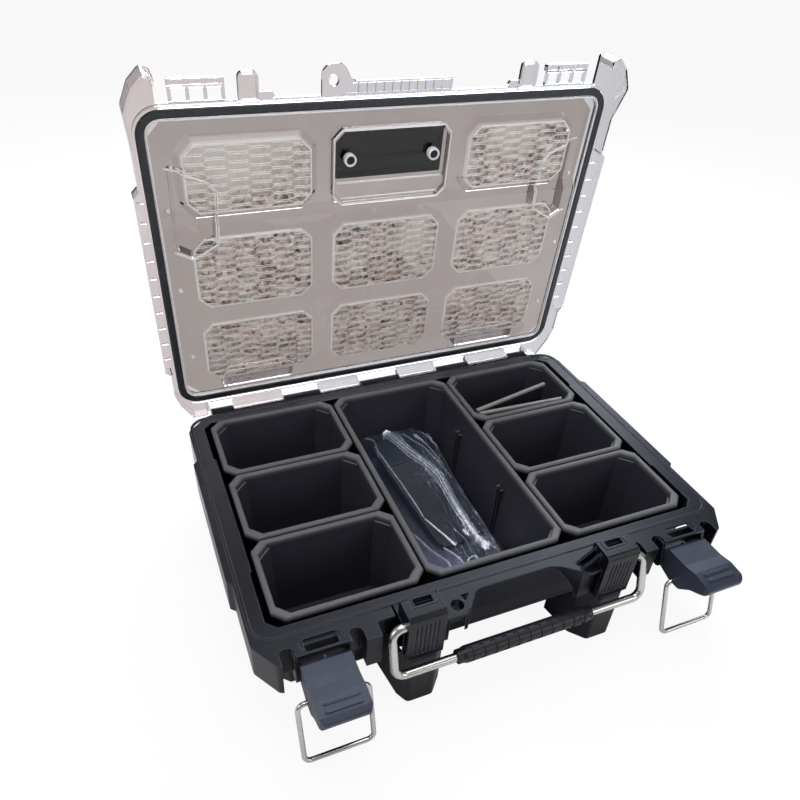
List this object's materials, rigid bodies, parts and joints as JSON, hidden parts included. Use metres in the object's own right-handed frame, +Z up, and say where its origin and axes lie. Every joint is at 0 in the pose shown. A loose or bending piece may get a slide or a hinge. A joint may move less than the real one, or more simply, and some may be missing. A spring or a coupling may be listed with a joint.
{
  "type": "tool organizer case",
  "caption": "Flat parts organizer case with lift-out bins under a clear hinged lid with a gasket, wire latches, a swinging handle and stacking brackets.",
  "frame": {"origin": "on the ground, under the centre of the block of bins", "axes": "+X to the right, +Y back to the lid's hinge, +Z up"},
  "size_m": [0.5626, 0.4915, 0.5182],
  "materials": {
    "base_black": "matte",
    "stainless_wire": "brushed",
    "clear_lid": "gloss",
    "gasket_rubber": "matte",
    "label_black": "satin",
    "grip_black": "satin",
    "lever_grey": "matte",
    "bin_grey": "matte",
    "divider_grey": "matte",
    "clear_film": "gloss",
    "panel_black": "satin"
  },
  "bodies": {
    "base": {"base_shell": "base_black", "stack_bracket_left": "base_black", "stack_bracket_right": "base_black", "hinge_pin": "stainless_wire", "latch_pin_left": "stainless_wire", "latch_pin_right": "stainless_wire"},
    "lid": {"lid_shell": "clear_lid", "lid_gasket": "gasket_rubber", "label_plate": "label_black"},
    "handle": {"handle_rod": "stainless_wire", "handle_grip": "grip_black"},
    "lever_left": {"latch_lever_left": "lever_grey"},
    "lever_right": {"latch_lever_right": "lever_grey"},
    "bail_left": {"latch_bail_left": "stainless_wire"},
    "bail_right": {"latch_bail_right": "stainless_wire"},
    "bin_left_front": {"bin_left_front": "bin_grey"},
    "bin_left_middle": {"bin_left_middle": "bin_grey"},
    "bin_left_rear": {"bin_left_rear": "bin_grey"},
    "bin_right_front": {"bin_right_front": "bin_grey"},
    "bin_right_middle": {"bin_right_middle": "bin_grey"},
    "bin_right_rear": {"bin_right_rear": "bin_grey"},
    "bin_centre": {"bin_centre": "bin_grey"},
    "bag": {"spares_bag": "clear_film", "spare_panel": "panel_black"},
    "divider_front": {"divider_front": "divider_grey"},
    "divider_slanted": {"divider_slanted": "divider_grey"}
  },
  "joints": [
    {"name": "lid_hinge", "type": "hinge", "parent": "base", "child": "lid", "pos_m": [0, 0.1926, 0.1062], "axis": [-1, 0, 0], "range_deg": [-85, 15]},
    {"name": "handle_swing", "type": "hinge", "parent": "base", "child": "handle", "pos_m": [0, -0.2105, 0.1185], "axis": [-1, 0, 0], "range_deg": [0, 80]},
    {"name": "latch_lever_left_pivot", "type": "hinge", "parent": "base", "child": "lever_left", "pos_m": [-0.2065, -0.2005, 0.086], "axis": [-1, 0, 0], "range_deg": [-90, 0]},
    {"name": "latch_bail_left_pivot", "type": "hinge", "parent": "lever_left", "child": "bail_left", "pos_m": [-0.2065, -0.2297, 0.0805], "axis": [1, 0, 0], "range_deg": [-252.7, 0]},
    {"name": "latch_lever_right_pivot", "type": "hinge", "parent": "base", "child": "lever_right", "pos_m": [0.2065, -0.2005, 0.086], "axis": [-1, 0, 0], "range_deg": [-90, 0]},
    {"name": "latch_bail_right_pivot", "type": "hinge", "parent": "lever_right", "child": "bail_right", "pos_m": [0.2065, -0.2297, 0.0805], "axis": [1, 0, 0], "range_deg": [-252.7, 0]},
    {"name": "bin_left_front_lift", "type": "slide", "parent": "base", "child": "bin_left_front", "axis": [0, 0, 1], "range_m": [0, 0.12]},
    {"name": "bin_left_middle_lift", "type": "slide", "parent": "base", "child": "bin_left_middle", "axis": [0, 0, 1], "range_m": [0, 0.12]},
    {"name": "bin_left_rear_lift", "type": "slide", "parent": "base", "child": "bin_left_rear", "axis": [0, 0, 1], "range_m": [0, 0.12]},
    {"name": "bin_right_front_lift", "type": "slide", "parent": "base", "child": "bin_right_front", "axis": [0, 0, 1], "range_m": [0, 0.12]},
    {"name": "bin_right_middle_lift", "type": "slide", "parent": "base", "child": "bin_right_middle", "axis": [0, 0, 1], "range_m": [0, 0.12]},
    {"name": "bin_right_rear_lift", "type": "slide", "parent": "base", "child": "bin_right_rear", "axis": [0, 0, 1], "range_m": [0, 0.12]},
    {"name": "bin_centre_lift", "type": "slide", "parent": "base", "child": "bin_centre", "axis": [0, 0, 1], "range_m": [0, 0.12]},
    {"name": "spares_bag_lift", "type": "slide", "parent": "bin_centre", "child": "bag", "axis": [0, 0, 1], "range_m": [0, 0.12]},
    {"name": "divider_front_lift", "type": "slide", "parent": "bin_right_rear", "child": "divider_front", "axis": [0, 0, 1], "range_m": [0, 0.12]},
    {"name": "divider_slanted_lift", "type": "slide", "parent": "bin_right_rear", "child": "divider_slanted", "axis": [0, 0, 1], "range_m": [0, 0.12]}
  ],
  "couplings": [
    {"joint": "latch_bail_left_pivot", "follows": "latch_lever_left_pivot", "ratio": 2.8077},
    {"joint": "latch_bail_right_pivot", "follows": "latch_lever_right_pivot", "ratio": 2.8077}
  ]
}
